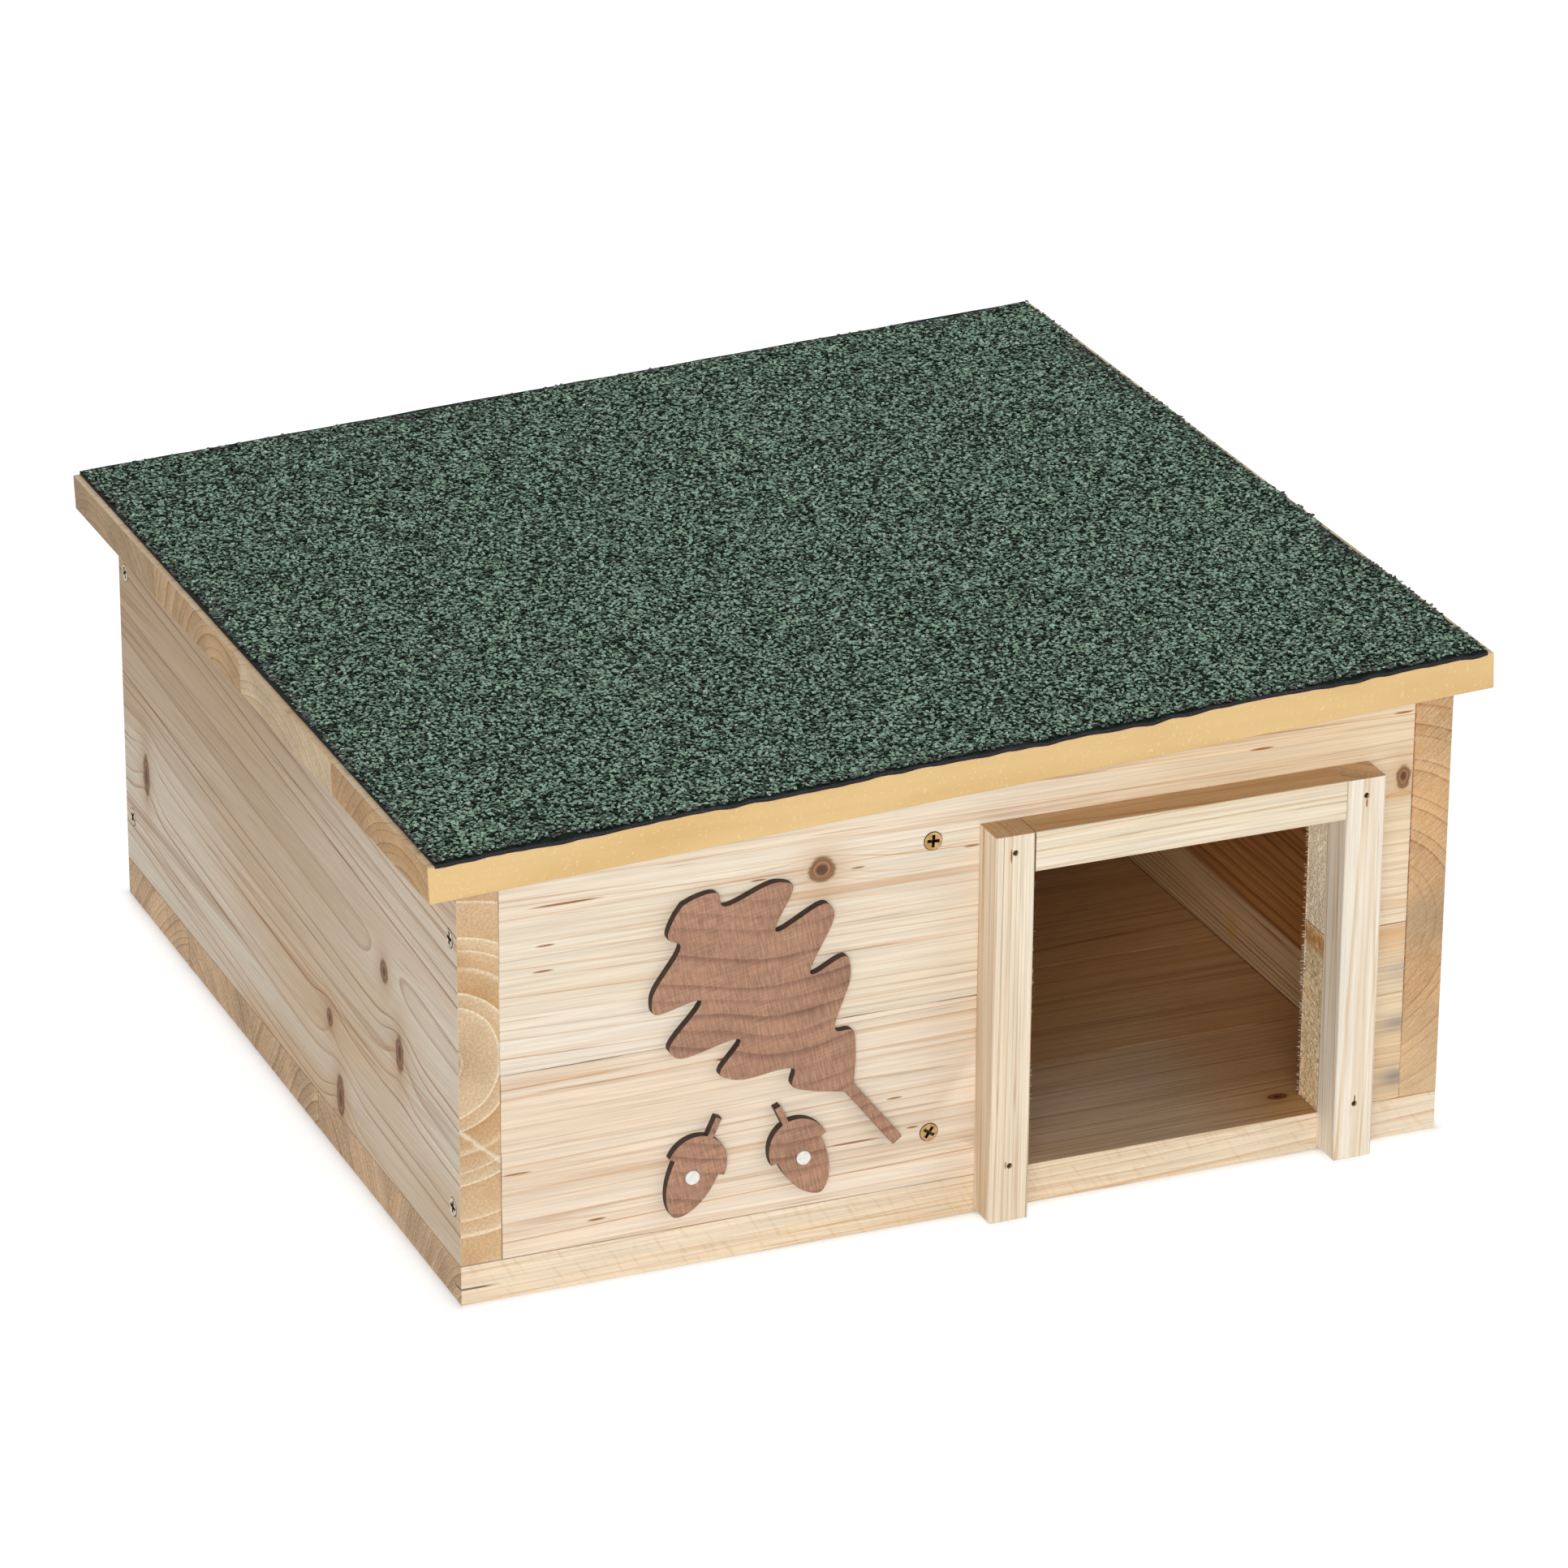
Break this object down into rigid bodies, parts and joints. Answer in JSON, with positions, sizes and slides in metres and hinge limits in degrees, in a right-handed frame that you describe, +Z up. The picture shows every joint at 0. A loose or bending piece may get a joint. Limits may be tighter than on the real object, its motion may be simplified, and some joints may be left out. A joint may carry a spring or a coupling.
{
  "type": "hedgehog house",
  "caption": "Low wooden hedgehog house with a framed doorway, an inner wall, a leaf plaque and a green felted roof that opens on hinges at the back.",
  "frame": {"origin": "on the ground, under the middle of the floor", "axes": "+Z up, -Y out of the doorway's side, +X to the right of someone facing the doorway"},
  "size_m": [0.4256, 0.426, 0.2039],
  "materials": {
    "pine": "planed, untreated",
    "roof_pine": "planed, front edge sealed yellow",
    "plaque_wood": "stained, edges charred by the cut",
    "white_paint": "matt",
    "zinc_screw": "yellow zinc",
    "steel": "zinc plated",
    "roofing_felt": "green slate chippings on black bitumen"
  },
  "bodies": {
    "house": {"floor_board_1": "pine", "floor_board_2": "pine", "floor_board_3": "pine", "floor_board_4": "pine", "floor_board_5": "pine", "left_wall": "pine", "right_wall": "pine", "front_wall_lower_left": "pine", "front_wall_lower_right": "pine", "front_wall_upper": "pine", "back_wall_lower": "pine", "back_wall_upper": "pine", "partition_lower": "pine", "partition_upper": "pine", "left_jamb": "pine", "right_jamb": "pine", "lintel": "pine", "leaf_plaque": "plaque_wood", "left_acorn_plaque": "plaque_wood", "right_acorn_plaque": "plaque_wood", "plaque_dots": "white_paint", "wall_screws": "zinc_screw", "partition_screws": "zinc_screw", "floor_screws": "zinc_screw", "frame_brads": "steel", "left_hinge_wall_leaf": "steel", "left_hinge_pin": "steel", "right_hinge_wall_leaf": "steel", "right_hinge_pin": "steel", "hinge_wall_screws": "steel"},
    "roof": {"roof_board_1": "roof_pine", "roof_board_2": "roof_pine", "roof_board_3": "roof_pine", "roof_board_4": "roof_pine", "roof_felt": "roofing_felt", "left_hinge_roof_leaf": "steel", "right_hinge_roof_leaf": "steel", "hinge_roof_screws": "steel"}
  },
  "joints": [
    {"name": "roof_hinge", "type": "hinge", "parent": "house", "child": "roof", "pos_m": [0.00011, 0.2028, 0.17474], "axis": [-0.999, 0, -0.0436], "range_deg": [0, 105]}
  ]
}
